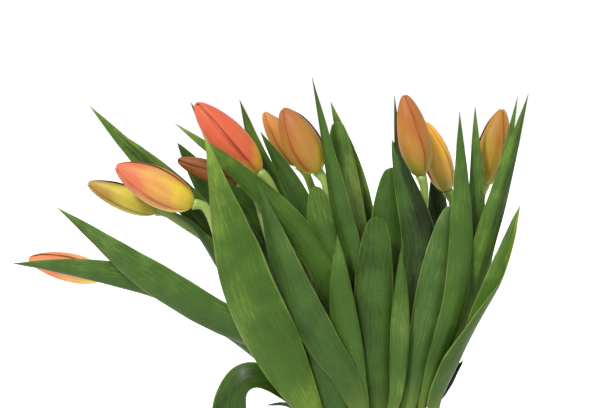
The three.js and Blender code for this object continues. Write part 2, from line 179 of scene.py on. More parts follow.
LEAVES = (
    leaf("front_left_broad", width=40, widest=0.42, blunt=0.95,
         left=(0.6, 0.5, 0.5, 0.75), right=(0.62, 0.45, 0.42, 0.8),
         warmth=0.75, margin=0.5, crease=0.3,
         turn=(180, 175, 165, 150), fold=(45, 35, 30, 50),
         midrib=((-31, -28, 203), (-40, -34, 221), (-58, -42, 256), (-78, -47, 298),
                 (-89, -48, 332), (-100, -44, 370), (-109, -40, 408))),
    leaf("front_left_second", width=26, widest=0.5, blunt=0.9,
         left=(0.28, 0.3, 0.35, 0.4), right=(0.35, 0.4, 0.45, 0.5),
         warmth=0.3, margin=0.5, crease=0.8,
         turn=(180, 175, 165, 150), fold=(40, 35, 30, 40),
         midrib=((-2, -36, 206), (-14, -41, 242), (-30, -43, 267), (-47, -42, 298),
                 (-60, -40, 331), (-74, -32, 375))),
    leaf("front_left_short", width=26, widest=0.4, blunt=0.9,
         left=(0.2, 0.25, 0.3), right=(0.35, 0.4, 0.35), warmth=0.4, margin=0.3, crease=0.2,
         turn=(180, 175, 170), fold=(40, 35, 40),
         midrib=((-16, -30, 205), (-23, -32, 232), (-32, -34, 252), (-41, -35, 276))),
    leaf("front_middle_narrow", width=20, widest=0.5, blunt=0.9,
         left=(0.45, 0.5, 0.5), right=(0.5, 0.52, 0.5), warmth=0.5, margin=0.4, crease=0.2,
         turn=(180, 175, 170), fold=(40, 35, 40),
         midrib=((-1, -30, 216), (-8, -35, 246), (-17, -35, 292), (-20, -33, 340))),
    leaf("front_middle_broad", width=30, widest=0.5, blunt=0.35,
         left=(0.3, 0.3, 0.3), right=(0.4, 0.42, 0.35), warmth=0.5, margin=0.6, crease=1,
         turn=(180, 180, 175), fold=(40, 35, 30),
         midrib=((9, -23, 204), (8, -27, 225), (6, -30, 265), (5, -30, 300), (7, -27, 352))),
    leaf("bright_strap", width=21, widest=0.45, blunt=0.9,
         left=(0.3, 0.3, 0.35, 0.45, 0.7), right=(0.5, 0.5, 0.45, 0.45, 0.75),
         warmth=0.8, margin=0.8, crease=0.2,
         turn=(150, 190, 200, 190), fold=(40, 35, 35, 60),
         midrib=((-2, -20, 226), (-25, -23, 306), (-50, -23, 346), (-90, -22, 385),
                 (-130, -22, 415))),
    leaf("low_left_long", width=27, widest=0.45, blunt=0.95,
         left=(0.35, 0.42, 0.5, 0.55), right=(0.42, 0.48, 0.55, 0.65),
         warmth=0.4, margin=0.5, crease=0.2,
         turn=(120, 160, 170, 160), fold=(45, 30, 30, 40),
         midrib=((-51, -10, 233), (-83, -28, 269), (-130, -36, 300), (-168, -37, 327),
                 (-210, -32, 359))),
    leaf("low_left_outer", width=20, widest=0.6, blunt=0.9,
         left=(0.45, 0.48, 0.5, 0.52), right=(0.5, 0.52, 0.55, 0.55),
         warmth=0.3, margin=0.5, crease=0.1,
         turn=(110, 165, 170, 160), fold=(45, 35, 30, 40),
         midrib=((-51, -3, 221), (-91, -10, 266), (-121, -18, 291), (-160, -22, 308),
                 (-205, -23, 316), (-243, -21, 319))),
    leaf("drooping", width=30, widest=0.7, blunt=0.7,
         left=(0.3, 0.35, 0.3, 0.2), right=(0.3, 0.3, 0.2, 0.2), warmth=0.6, margin=0.4, crease=0.2,
         turn=(110, 60, 25, 15), fold=(40, 35, 35, 40),
         midrib=((-40, -18, 205), (-58, -22, 226), (-75, -25, 239), (-88, -25, 233),
                 (-92, -25, 210), (-88, -25, 168))),
    leaf("low_left_small", width=9, widest=0.4, blunt=0.9,
         left=(0.15, 0.2), right=(0.2, 0.25), warmth=0.3, margin=0.2, crease=0,
         turn=(120, 120), fold=(30, 30),
         midrib=((-38, -6, 203), (-54, -5, 215), (-70, -6, 216))),
    leaf("upper_left_back", width=18, widest=0.6, blunt=0.9,
         left=(0.5, 0.55, 0.65), right=(0.55, 0.65, 0.72), warmth=0.5, margin=0.5, crease=0.1,
         turn=(30, 20, 10), fold=(40, 35, 40),
         midrib=((-30, 23, 222), (-73, 25, 287), (-122, 22, 350), (-159, 20, 387),
                 (-194, 20, 425))),
    leaf("upper_left_front", width=17, widest=0.6, blunt=0.9,
         left=(0.3, 0.3, 0.35), right=(0.5, 0.6, 0.65), warmth=0.5, margin=0.6, crease=0.1,
         turn=(40, 30, 20), fold=(50, 45, 50),
         midrib=((-26, 7, 226), (-67, 6, 289), (-109, 8, 344), (-144, 10, 381), (-177, 10, 410))),
    leaf("lower_left_dark", width=17, widest=0.55, blunt=0.8,
         left=(0.2, 0.2, 0.25), right=(0.3, 0.35, 0.35), warmth=0.4, margin=0.3, crease=0.1,
         turn=(100, 120, 130), fold=(40, 35, 40),
         midrib=((-34, 4, 232), (-77, -2, 272), (-100, -3, 310), (-118, -3, 339),
                 (-138, -3, 355))),
    leaf("middle_behind_strap", width=19, widest=0.6, blunt=0.9,
         left=(0.3, 0.35, 0.4), right=(0.4, 0.5, 0.5), warmth=0.4, margin=0.4, crease=0.1,
         turn=(5, 5, 5), fold=(40, 35, 40),
         midrib=((-13, 1, 228), (-16, 1, 270), (-31, 1, 315), (-48, 3, 364), (-73, 4, 408))),
    leaf("middle_light_broad", width=26, widest=0.55, blunt=0.4,
         left=(0.5, 0.55, 0.55), right=(0.5, 0.6, 0.55), warmth=0.5, margin=0.4, crease=0.2,
         turn=(170, 175, 175), fold=(35, 30, 35),
         midrib=((-12, -10, 232), (-16, -17, 264), (-23, -17, 306), (-30, -14, 341),
                 (-35, -16, 372))),
    leaf("back_left_tall", width=18, widest=0.6, blunt=0.9,
         left=(0.4, 0.5, 0.55), right=(0.45, 0.6, 0.6), warmth=0.5, margin=0.6, crease=0.1,
         turn=(0, 10, 10), fold=(45, 40, 45),
         midrib=((-10, 12, 226), (-21, 14, 267), (-40, 15, 324), (-72, 15, 384), (-88, 15, 430))),
    leaf("tallest", width=18, widest=0.5, blunt=1,
         left=(0.3, 0.3, 0.32, 0.35), right=(0.4, 0.42, 0.42, 0.45),
         warmth=0.5, margin=0.6, crease=0.2,
         turn=(120, 160, 150, 130), fold=(50, 45, 55, 60),
         midrib=((11, -13, 222), (4, -20, 272), (-10, -22, 322), (-23, -24, 375),
                 (-37, -22, 446))),
    leaf("behind_tallest_rounded", width=24, widest=0.6, blunt=0.35,
         left=(0.5, 0.5, 0.55), right=(0.6, 0.6, 0.65), warmth=0.5, margin=0.5, crease=0.1,
         turn=(180, 180, 180), fold=(35, 30, 40),
         midrib=((0, 7, 224), (-2, -4, 291), (-12, -8, 355), (-20, -7, 416))),
    leaf("behind_tallest_pointed", width=20, widest=0.6, blunt=0.95,
         left=(0.45, 0.5, 0.6), right=(0.5, 0.6, 0.7), warmth=0.6, margin=0.5, crease=0.1,
         turn=(0, 0, 0), fold=(35, 30, 40),
         midrib=((6, 22, 224), (10, 12, 266), (3, 8, 317), (-9, 4, 380), (-24, 4, 429))),
    leaf("right_of_middle_rounded", width=24, widest=0.65, blunt=0.35,
         left=(0.35, 0.35, 0.4), right=(0.4, 0.4, 0.45), warmth=0.5, margin=0.6, crease=0.2,
         turn=(180, 180, 185), fold=(35, 30, 35),
         midrib=((14, 4, 224), (16, -5, 262), (14, -11, 330), (18, -6, 384))),
    leaf("behind_orange_bud", width=11, widest=0.5, blunt=0.9,
         left=(0.3, 0.35, 0.4), right=(0.35, 0.4, 0.5), warmth=0.5, margin=0.5, crease=0.1,
         turn=(10, 10), fold=(35, 35),
         midrib=((11, 17, 222), (26, 14, 266), (28, 16, 330), (21, 16, 433))),
    leaf("dark_middle_right", width=28, widest=0.55, blunt=0.8,
         left=(0.25, 0.2, 0.35), right=(0.15, 0.1, 0.1), warmth=0.4, margin=0.6, crease=0.1,
         turn=(180, 180, 190), fold=(40, 40, 45),
         midrib=((21, -22, 208), (33, -24, 260), (37, -25, 301), (36, -23, 340), (18, -13, 403))),
    leaf("front_right_short", width=14, widest=0.5, blunt=0.9,
         left=(0.5, 0.5, 0.5), right=(0.6, 0.6, 0.5), warmth=0.4, margin=0.5, crease=0.3,
         turn=(180, 180), fold=(35, 35),
         midrib=((15, -32, 206), (21, -35, 235), (23, -37, 289), (23, -36, 332))),
    leaf("right_rounded", width=27, widest=0.6, blunt=0.4,
         left=(0.45, 0.5, 0.5), right=(0.5, 0.5, 0.55), warmth=0.2, margin=0.7, crease=0.3,
         turn=(185, 185, 190), fold=(40, 35, 40),
         midrib=((27, -27, 210), (38, -30, 256), (48, -30, 305), (59, -20, 359))),
    leaf("right_tall_inner", width=19, widest=0.5, blunt=1,
         left=(0.4, 0.42, 0.45, 0.5), right=(0.4, 0.45, 0.5, 0.55),
         warmth=0.5, margin=0.5, crease=0.2,
         turn=(190, 190, 190), fold=(40, 40, 45),
         midrib=((37, -23, 212), (47, -36, 250), (61, -38, 300), (65, -31, 350), (63, -22, 423))),
    leaf("right_tall_behind", width=13, widest=0.6, blunt=0.9,
         left=(0.4, 0.45, 0.55), right=(0.5, 0.55, 0.6), warmth=0.5, margin=0.5, crease=0.1,
         turn=(180, 180, 180), fold=(35, 35, 40),
         midrib=((38, -7, 224), (54, -11, 246), (70, -14, 285), (76, -17, 350), (75, -9, 426))),
    leaf("right_tall_outer", width=17, widest=0.55, blunt=1,
         left=(0.45, 0.5, 0.6, 0.6), right=(0.2, 0.25, 0.3, 0.35),
         warmth=0.7, margin=0.6, crease=0.1,
         turn=(200, 190, 185, 180), fold=(50, 40, 45, 55),
         midrib=((42, -9, 216), (56, -17, 244), (74, -26, 300), (81, -31, 335), (89, -33, 365),
                 (109, -25, 435))),
    leaf("right_tip_behind", width=10, widest=0.6, blunt=0.9,
         left=(0.5, 0.55, 0.65), right=(0.5, 0.55, 0.65), warmth=0.6, margin=0.5, crease=0.1,
         turn=(180, 180), fold=(35, 35),
         midrib=((44, -4, 228), (72, -7, 285), (86, -12, 335), (104, -10, 433))),
    leaf("far_right_channel", width=30, widest=0.4, blunt=0.85,
         left=(0.4, 0.4, 0.5, 0.9), right=(0.55, 0.5, 0.5, 0.6), warmth=0.7, margin=0.6, crease=0.2,
         turn=(235, 240, 290, 310), fold=(60, 55, 50, 45),
         midrib=((48, -16, 206), (52, -32, 230), (65, -44, 263), (90, -36, 312), (105, -22, 359))),
    leaf("low_right_dark", width=16, widest=0.4, blunt=0.8,
         left=(0.1, 0.15), right=(0.15, 0.2), warmth=0.4, margin=0.2, crease=0,
         turn=(300, 300), fold=(35, 35),
         midrib=((32, 10, 206), (54, 6, 221), (70, 2, 246))),
    leaf("behind_left_buds", width=24, widest=0.7, blunt=0.8,
         left=(0.15, 0.2, 0.2, 0.35), right=(0.2, 0.2, 0.25, 0.35),
         warmth=0.4, margin=0.2, crease=0,
         turn=(180, 180),
         fold=(35, 35), midrib=((-22, 30, 218), (-60, 36, 285), (-105, 38, 355), (-134, 38, 398))),
    leaf("behind_coral_bud", width=14, widest=0.6, blunt=0.8,
         left=(0.3, 0.3, 0.5), right=(0.3, 0.4, 0.5), warmth=0.5, margin=0.4, crease=0,
         turn=(180, 180),
         fold=(35, 35), midrib=((-10, 32, 222), (-50, 43, 290), (-95, 46, 370), (-125, 46, 427))),
    leaf("behind_yellow_bud", width=17, widest=0.7, blunt=0.8,
         left=(0.1, 0.1), right=(0.1, 0.15), warmth=0.4, margin=0.2, crease=0,
         turn=(180, 180),
         fold=(35, 35), midrib=((36, 12, 223), (46, 28, 265), (55, 37, 325), (52, 40, 385))),
)


# ---------------------------------------------------------------- curves and meshes

def smooth_curve(points, count):
    """Points evenly spaced along a Catmull-Rom curve: each stretch is the cubic through its two
    ends whose slopes are half the step between their neighbours. Returns the points, their unit
    tangents and the curve's length."""
    knots = np.asarray(points, float)
    first = 2 * knots[0] - knots[1]
    last = 2 * knots[-1] - knots[-2]
    padded = np.vstack([first, knots, last])
    start, end = padded[1:-2, None], padded[2:-1, None]
    slope_in = (padded[2:-1] - padded[:-3])[:, None] / 2
    slope_out = (padded[3:] - padded[1:-2])[:, None] / 2
    t = np.linspace(0, 1, CURVE_SAMPLES, endpoint=False)[None, :, None]
    cubic = ((2 * t**3 - 3 * t**2 + 1) * start + (t**3 - 2 * t**2 + t) * slope_in
             + (3 * t**2 - 2 * t**3) * end + (t**3 - t**2) * slope_out)
    dense = np.vstack([cubic.reshape(-1, 3), knots[-1]])
    travelled = np.concatenate([[0], np.cumsum(np.linalg.norm(np.diff(dense, axis=0), axis=1))])
    stations = np.linspace(0, travelled[-1], count)
    even = np.column_stack([np.interp(stations, travelled, dense[:, axis]) for axis in range(3)])
    tangents = np.gradient(even, axis=0)
    tangents /= np.linalg.norm(tangents, axis=1, keepdims=True)
    return even, tangents, travelled[-1]


def values_along(values, share):
    """A list of evenly spaced values read at the given shares of its length."""
    return np.interp(share, np.linspace(0, 1, len(values)), values)


def ring_faces(rows, around):
    """Quads between neighbouring closed rings of a grid, as rows of four indices."""
    row, column = np.meshgrid(np.arange(rows - 1), np.arange(around), indexing="ij")
    here = row * around + column
    beside = row * around + (column + 1) % around
    quads = np.stack([here, beside, beside + around, here + around], axis=-1)
    return quads.reshape(-1, 4)


def end_caps(rows, around):
    """The first and last ring as one face each."""
    return [tuple(range(around - 1, -1, -1)), tuple(range((rows - 1) * around, rows * around))]


def make_piece(name, points, faces, materials, replaced, fields, uv, face_material=None):
    """Puts a grid in as a mesh object in metres, with its UV map, its value fields and its skins,
    and ties it to the frame."""
    mesh = bpy.data.meshes.new(name)
    mesh.from_pydata((np.asarray(points) * MM).tolist(), [], [tuple(face) for face in faces])
    mesh.update()
    for field, values in fields.items():
        layer = mesh.attributes.new(field, "FLOAT", "POINT")
        layer.data.foreach_set("value", np.asarray(values, np.float32).ravel())
    corners = np.empty(len(mesh.loops), np.int32)
    mesh.loops.foreach_get("vertex_index", corners)
    layer = mesh.uv_layers.new(name="Surface")
    layer.data.foreach_set("uv", np.asarray(uv, np.float32)[corners].ravel())
    for material in materials:
        mesh.materials.append(material)
    if face_material is not None:
        mesh.polygons.foreach_set("material_index", np.asarray(face_material, np.int32))
    mesh.polygons.foreach_set("use_smooth", np.ones(len(mesh.polygons), bool))
    piece = bpy.data.objects.new(name, mesh)
    bpy.context.scene.collection.objects.link(piece)
    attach(piece, BODY)
    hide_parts(replaced)
    return piece


# ---------------------------------------------------------------- materials

def linear(hex_colour):
    """An sRGB hex colour as linear RGBA."""
    channels = [int(hex_colour[i:i + 2], 16) / 255 for i in (0, 2, 4)]
    bright = [c / 12.92 if c <= 0.04045 else ((c + 0.055) / 1.055) ** 2.4 for c in channels]
    return (*bright, 1.0)


def node_kind(node_type, inputs, output, **settings):
    """A kind of node: its type, the inputs that take the values given for it in order, the output
    that it hands on, and its own settings."""
    return dict(node_type=node_type, inputs=inputs, output=output, settings=settings)


MIX = node_kind("ShaderNodeMix", (0, 6, 7), 2, data_type="RGBA")
STRETCH = node_kind("ShaderNodeMapRange", (0, 1, 2, 3, 4), 0, interpolation_type="SMOOTHSTEP")
ADD = node_kind("ShaderNodeMath", (0, 1), 0, operation="ADD")
MULTIPLY = node_kind("ShaderNodeMath", (0, 1), 0, operation="MULTIPLY")
MULTIPLY_ADD = node_kind("ShaderNodeMath", (0, 1, 2), 0, operation="MULTIPLY_ADD")
FIELD = node_kind("ShaderNodeAttribute", (), "Fac")
SURFACE_MAP = node_kind("ShaderNodeUVMap", (), 0, uv_map="Surface")
OBJECT_PLACE = node_kind("ShaderNodeTexCoord", (), "Object")
SCALED = node_kind("ShaderNodeMapping", ("Vector", "Scale"), 0)
NOISE = node_kind("ShaderNodeTexNoise", ("Vector", "Scale", "Detail", "Roughness"), "Fac")
BUMP = node_kind("ShaderNodeBump", ("Height", "Distance", "Strength", "Normal"), 0)


def feed(tree, node, inputs):
    """Links an output to each named input, or sets a number, place or colour on it."""
    for name, value in inputs.items():
        if isinstance(value, bpy.types.NodeSocket):
            tree.links.new(value, node.inputs[name])
        else:
            node.inputs[name].default_value = value


def add_node(tree, kind, *values, **settings):
    """Adds a node of a kind, with a value for each of its inputs in order and any more settings,
    and returns the output that it hands on."""
    node = tree.nodes.new(kind["node_type"])
    for name, value in (kind["settings"] | settings).items():
        setattr(node, name, value)
    feed(tree, node, dict(zip(kind["inputs"], values)))
    return node.outputs[kind["output"]]


def chain(tree, kind, first, *others):
    """Several values taken together in turn, as a sum or a product, by nodes of one kind."""
    for value in others:
        first = add_node(tree, kind, first, value)
    return first


def new_material(name):
    """A material with only its Principled shader, and its node tree."""
    material = bpy.data.materials.new(name)
    material.use_nodes = True
    tree = material.node_tree
    return material, tree, tree.nodes["Principled BSDF"]


def surface_noise(tree, scale, detail, roughness=0.6):
    """Noise over the piece's own surface map, whose units are metres across and along."""
    scaled = add_node(tree, SCALED, add_node(tree, SURFACE_MAP), scale)
    return add_node(tree, NOISE, scaled, 1.0, detail, roughness)


def object_noise(tree, scale, detail):
    """Noise through the piece's own space, in metres."""
    return add_node(tree, NOISE, add_node(tree, OBJECT_PLACE), scale, detail)


def leaf_material(name, settings, roughness, bloom):
    """A waxy leaf skin, from deep shade green to lit bright green by painted light and shade set for
    each half of each blade: irregular fibres 1.1 mm apart, 4 mm mottles and broad blotches, brown
    crease marks where the blade has been bent, a thin pale margin that comes and goes, and a paler
    sheath."""
    material, tree, shader = new_material(name)
    fibres = surface_noise(tree, (900.0, 45.0, 1.0), 4.0, 0.7)
    mottles = surface_noise(tree, (240.0, 110.0, 1.0), 4.0, 0.65)
    blotches = object_noise(tree, 42.0, 4.0)
    creases = surface_noise(tree, (160.0, 420.0, 1.0), 5.0, 0.7)
    painted_light_and_shade, warmth, along, across, margin, crease = (
        add_node(tree, FIELD, attribute_name=name)
        for name in ("painted_light_and_shade", "warmth", "along", "across", "margin", "crease"))
    # Painted light and shade from the blade's field, plus random blotches, mottles and fibres.
    painted_light_and_mottles = chain(tree, ADD, painted_light_and_shade,
                      add_node(tree, STRETCH, blotches, 0.3, 0.7, -0.09, 0.09),
                      add_node(tree, STRETCH, mottles, 0.3, 0.7, -0.03, 0.03),
                      add_node(tree, STRETCH, fibres, 0.3, 0.7, -0.08, 0.08))
    # Painted light and shade: the dark colour stands for leaves in shade and the bright ones for lit
    # leaves, each grey-green or yellow-green by warmth.
    middle = add_node(tree, MIX, warmth, linear("304a1c"), linear(settings.leaf_middle))
    bright = add_node(tree, MIX, warmth, linear("66804a"), linear(settings.lit_leaf_colour))
    lit_low = add_node(tree, STRETCH, painted_light_and_mottles, 0.0, 0.5)
    low = add_node(tree, MIX, lit_low, linear(settings.shaded_leaf_colour), middle)
    green = add_node(tree, MIX, add_node(tree, STRETCH, painted_light_and_mottles, 0.45, 1.05), low, bright)
    sheath = add_node(tree, STRETCH, along, 0.22, 0.0, 0.0, 0.5)
    based = add_node(tree, MIX, sheath, green, linear("62782a"))
    patchy = chain(tree, MULTIPLY, margin,
                   add_node(tree, STRETCH, blotches, 0.35, 0.6, 0.25, 0.85),
                   add_node(tree, STRETCH, across, 0.9, 0.985))
    edged = add_node(tree, MIX, patchy, based, linear("7c8a42"))
    marked = chain(tree, MULTIPLY, crease, add_node(tree, STRETCH, creases, 0.6, 0.66),
                   add_node(tree, STRETCH, blotches, 0.45, 0.6))
    dented = add_node(tree, BUMP, mottles, 0.0005, 0.6)
    feed(tree, shader, {
        "Base Color": add_node(tree, MIX, marked, edged, linear("232a0c")),
        "Roughness": add_node(tree, STRETCH, mottles, 0.3, 0.7, roughness - 0.08, roughness + 0.1),
        "Specular IOR Level": 0.16,
        "Sheen Weight": bloom,
        "Sheen Roughness": 0.45,
        "Sheen Tint": linear("c9dcc8"),
        "Subsurface Weight": 0.08,
        "Subsurface Radius": (0.0012, 0.0025, 0.0006),
        "Subsurface Scale": 1.0,
        "Normal": add_node(tree, BUMP, fibres, 0.0003, 0.8, dented),
    })
    return material


def stem_material():
    """A smooth fleshy stem: pale green, darker towards the vase, with faint lengthwise streaks."""
    material, tree, shader = new_material("fleshy_stem_green")
    streaks = surface_noise(tree, (900.0, 14.0, 1.0), 3.0)
    along = add_node(tree, FIELD, attribute_name="along")
    high = add_node(tree, STRETCH, along, 0.55, 1.0)
    green = add_node(tree, MIX, high, linear("476822"), linear("7c923e"))
    streaky = add_node(tree, STRETCH, streaks, 0.35, 0.7, 0.0, 0.5)
    feed(tree, shader, {
        "Base Color": add_node(tree, MIX, streaky, green, linear("5e772b")),
        "Roughness": add_node(tree, STRETCH, streaks, 0.3, 0.7, 0.38, 0.5),
        "Sheen Weight": 0.08,
        "Subsurface Weight": 0.15,
        "Subsurface Radius": (0.0015, 0.003, 0.0008),
        "Subsurface Scale": 1.0,
        "Normal": add_node(tree, BUMP, streaks, 0.00025, 0.7),
    })
    return material


def petal_material(look):
    """A satin petal: the base colour runs into the body and the tip, fine veins fan lengthwise,
    the margins are darker, and a painted shadow darkens the line where a neighbour lies over the
    petal."""
    material, tree, shader = new_material("satin_petal_" + look["skin"])
    tip, body, base, edge = (linear(look[part + "_colour"])
                             for part in ("tip", "body", "base", "edge"))
    along, across, shade = (add_node(tree, FIELD, attribute_name=name)
                            for name in ("along", "across", "shade"))
    veins = surface_noise(tree, (1500.0, 18.0, 1.0), 3.0)
    broad = surface_noise(tree, (170.0, 12.0, 1.0), 2.0)
    drift = object_noise(tree, 45.0, 2.0)
    upward = add_node(tree, ADD, along, add_node(tree, STRETCH, drift, 0.3, 0.7, -0.08, 0.08))
    flanked = add_node(tree, MULTIPLY_ADD, across, upward, upward)
    based = add_node(tree, MIX, add_node(tree, STRETCH, flanked, 0.08, 0.5), base, body)
    tipped = add_node(tree, MIX, add_node(tree, STRETCH, flanked, 0.55, 1.15), based, tip)
    streaky = add_node(tree, STRETCH, broad, 0.42, 0.72, 0.0, 0.35)
    streaked = add_node(tree, MIX, streaky, tipped, tip)
    veiny = add_node(tree, STRETCH, veins, 0.4, 0.7, 0.0, 0.22)
    veined = add_node(tree, MIX, veiny, streaked, edge)
    high = add_node(tree, STRETCH, along, 0.0, 0.12)
    # Painted shadow: the edge colour is laid beside the seam where the next petal lies over this one.
    shaded = add_node(tree, MIX, chain(tree, MULTIPLY, shade, high, 0.75), veined, edge)
    margin = add_node(tree, MULTIPLY, add_node(tree, STRETCH, across, 0.9, 0.99, 0.0, 0.95), high)
    low = add_node(tree, BUMP, broad, 0.0005, 0.6)
    feed(tree, shader, {
        "Base Color": add_node(tree, MIX, margin, shaded, edge),
        "Roughness": add_node(tree, STRETCH, veins, 0.3, 0.7, 0.42, 0.56),
        "Specular IOR Level": 0.25,
        "Sheen Weight": 0.04,
        "Sheen Roughness": 0.4,
        "Subsurface Weight": 0.22,
        "Subsurface Radius": (0.004, 0.002, 0.0008),
        "Subsurface Scale": 1.0,
        "Normal": add_node(tree, BUMP, veins, 0.00018, 0.8, low),
    })
    return material


def glaze_material():
    """Glazed stoneware: a glossy off-white coat with faint mottling and fine dark specks."""
    material, tree, shader = new_material("off_white_glaze")
    mottle = object_noise(tree, 30.0, 5.0)
    specks = object_noise(tree, 900.0, 1.0)
    mottled = add_node(tree, STRETCH, mottle, 0.35, 0.65)
    ground = add_node(tree, MIX, mottled, linear("bfb7a6"), linear("cfc8b8"))
    specked = add_node(tree, STRETCH, specks, 0.72, 0.8, 0.0, 0.5)
    feed(tree, shader, {
        "Base Color": add_node(tree, MIX, specked, ground, linear("7d6d52")),
        "Roughness": add_node(tree, STRETCH, mottle, 0.3, 0.7, 0.16, 0.26),
        "Coat Weight": 0.35,
        "Coat Roughness": 0.08,
        "Normal": add_node(tree, BUMP, mottle, 0.0004, 0.4),
    })
    return material


def floor_material():
    """A matt white table top with a barely visible grain."""
    material, tree, shader = new_material("matt_white_table")
    grain = object_noise(tree, 60.0, 4.0)
    grainy = add_node(tree, STRETCH, grain, 0.3, 0.7)
    feed(tree, shader, {
        "Base Color": add_node(tree, MIX, grainy, linear("fafafa"), linear("fdfdfd")),
        "Roughness": 0.9,
        "Normal": add_node(tree, BUMP, grain, 0.0002, 0.2),
    })
    return material


# ---------------------------------------------------------------- leaves

def leaf_width_share(share, widest, blunt):
    """Half a leaf's width as a share of its widest: a sheath of 0.3 that opens as a quarter sine
    up to the widest place, then a quarter cosine, raised to the bluntness, down to the tip."""
    rise = np.sin(np.pi / 2 * np.clip(share / widest, 0, 1))
    opening = SHEATH_OPENING + (1 - SHEATH_OPENING) * rise
    past = np.clip((share - widest) / (1 - widest), 0, 1)
    closing = np.cos(np.pi / 2 * past) ** blunt
    return np.maximum(TIP_SHARE, np.where(share < widest, opening, closing))


def sheath_heel(start):
    """Where a leaf's sheath leaves the vase: on the skin of the nearest stem, just below the rim
    and on the side that the leaf comes from."""
    rims = np.array([plant["rim"] for plant in TULIPS], float)
    away = np.array(start[:2], float) - rims
    nearest = np.argmin(np.linalg.norm(away, axis=1))
    outwards = away[nearest] / max(1e-6, np.linalg.norm(away[nearest]))
    place = rims[nearest] + outwards * HEEL_OFFSET
    return (place[0], place[1], VASE_HEIGHT - HEEL_DEPTH)


def leaf_blade(shape, rng):
    """A leaf as closed rings. Across each ring, v runs from -1 to 1 on an arc of the fold angle:
    outward = h sin(bv)/b and up = h (1 - cos(bv))/b, with a keel of a narrow bell curve under the
    midrib, shallow cosine ridges, and margins that wave as sines along the leaf, growing with the
    cube of v. Before its first midrib point the blade runs on as a sheath, and narrows and folds
    there into a clasp whose strength falls as the 0.8 power of the way from the heel."""
    heel = sheath_heel(shape["midrib"][0])
    spine, tangent, length = smooth_curve((heel, *shape["midrib"]), LEAF_ROWS)
    blade_length = smooth_curve(shape["midrib"], LEAF_ROWS)[2]
    whole = np.linspace(0, 1, LEAF_ROWS)
    sheath = 1 - blade_length / length
    share = np.clip((whole - sheath) / (1 - sheath), 0, 1)
    clasp = np.clip(1 - whole / sheath, 0, 1) ** 0.8
    turn = np.radians(values_along(shape["turn"], share))[:, None]
    fold = values_along(shape["fold"], share) * (1 - clasp) + CLASP_FOLD * clasp
    bend = np.radians(fold)[:, None]
    front = np.array([0.0, -1.0, 0.0]) + tangent * tangent[:, 1:2]
    front /= np.linalg.norm(front, axis=1, keepdims=True)
    hollow = front * np.cos(turn) + np.cross(tangent, front) * np.sin(turn)
    side = np.cross(tangent, hollow)
    full = shape["width"] / 2 * leaf_width_share(share, shape["widest"], shape["blunt"])
    half_width = full * (1 - clasp) + CLASP_WIDTH / 2 * clasp
    faces_back = np.where(hollow[:, 1].mean() > 0, -1.0, 1.0)

    v = np.sin(np.linspace(-np.pi / 2, np.pi / 2, LEAF_COLUMNS))
    upper = np.arange(LEAF_COLUMNS)
    lower = np.arange(LEAF_COLUMNS - 2, 0, -1)
    ring_v = np.concatenate([v[upper], v[lower]])[None, :]
    face_sign = np.concatenate([np.ones(len(upper)), -np.ones(len(lower))])[None, :]
    thickness = LEAF_THICKNESS * (1 - ring_v**4) + LEAF_EDGE
    tip_thinning = 0.45 + 0.55 * np.sin(np.pi / 2 * np.clip((1 - share) * 4, 0, 1))
    thickness = thickness * tip_thinning[:, None]
    lift = face_sign * thickness * np.where(np.abs(ring_v) >= 1, 0, 1)

    phase = rng.uniform(0, 2 * np.pi, 4)
    waves = rng.uniform(1.6, 3.2, 2)
    reach = share[:, None]
    left_wave = np.sin(2 * np.pi * waves[0] * reach + phase[0]) + 0.5 * np.sin(
        2 * np.pi * 2.3 * waves[0] * reach + phase[1])
    right_wave = np.sin(2 * np.pi * waves[1] * reach + phase[2]) + 0.5 * np.sin(
        2 * np.pi * 2.3 * waves[1] * reach + phase[3])
    wave = np.where(ring_v < 0, left_wave, right_wave) * np.abs(ring_v) ** 3
    wave = wave * WAVE_SHARE * half_width[:, None]
    from_midrib = ring_v * half_width[:, None]
    keel = -KEEL_DEPTH * np.exp(-(from_midrib / KEEL_WIDTH) ** 2) * (1 - 0.7 * reach)
    ridges = RIDGE_DEPTH * np.cos(from_midrib * 2 * np.pi / RIDGE_SPACING)

    angle = bend * ring_v
    h = half_width[:, None]
    outward = h * np.sin(angle) / bend - lift * np.sin(angle)
    upward = h * (1 - np.cos(angle)) / bend + lift * np.cos(angle) + wave + keel + ridges
    points = (spine[:, None] + side[:, None] * outward[..., None]
              + hollow[:, None] * upward[..., None])
    around = ring_v.shape[1]
    uv = np.stack([ring_v * h * MM, np.repeat(reach * length * MM, around, axis=1)], axis=-1)
    # Painted light and shade: the left and right lists give each half of the blade its own lightness,
    # blended across the midrib.
    rightness = np.clip(0.5 + HALVES_BLEND * faces_back * ring_v, 0, 1)
    rightness = rightness**2 * (3 - 2 * rightness)
    left_painted_light = values_along(shape["left"], share)[:, None]
    painted_light_and_shade = left_painted_light + (values_along(shape["right"], share)[:, None] - left_painted_light) * rightness
    fields = {
        "across": np.repeat(np.abs(ring_v), LEAF_ROWS, axis=0),
        "along": np.repeat(reach, around, axis=1),
        "painted_light_and_shade": painted_light_and_shade,
        "warmth": np.full((LEAF_ROWS, around), shape["warmth"]),
        "margin": np.full((LEAF_ROWS, around), shape["margin"]),
        "crease": np.full((LEAF_ROWS, around), shape["crease"]),
    }
    return points.reshape(-1, 3), around, uv.reshape(-1, 2), fields


def make_leaf(shape, upper_skin, lower_skin, rng):
    """One leaf: the hollow side gets the glossier skin, and the back the bloomed one."""
    points, around, uv, fields = leaf_blade(shape, rng)
    quads = ring_faces(LEAF_ROWS, around)[:, ::-1]
    caps = [face[::-1] for face in end_caps(LEAF_ROWS, around)]
    column = np.tile(np.arange(around), LEAF_ROWS - 1)
    skin = np.concatenate([(column >= LEAF_COLUMNS - 1).astype(int), [0, 0]])
    name = "leaf_" + shape["name"]
    return make_piece("blade_" + shape["name"], points, quads.tolist() + caps,
                      (upper_skin, lower_skin), name, fields, uv, skin)


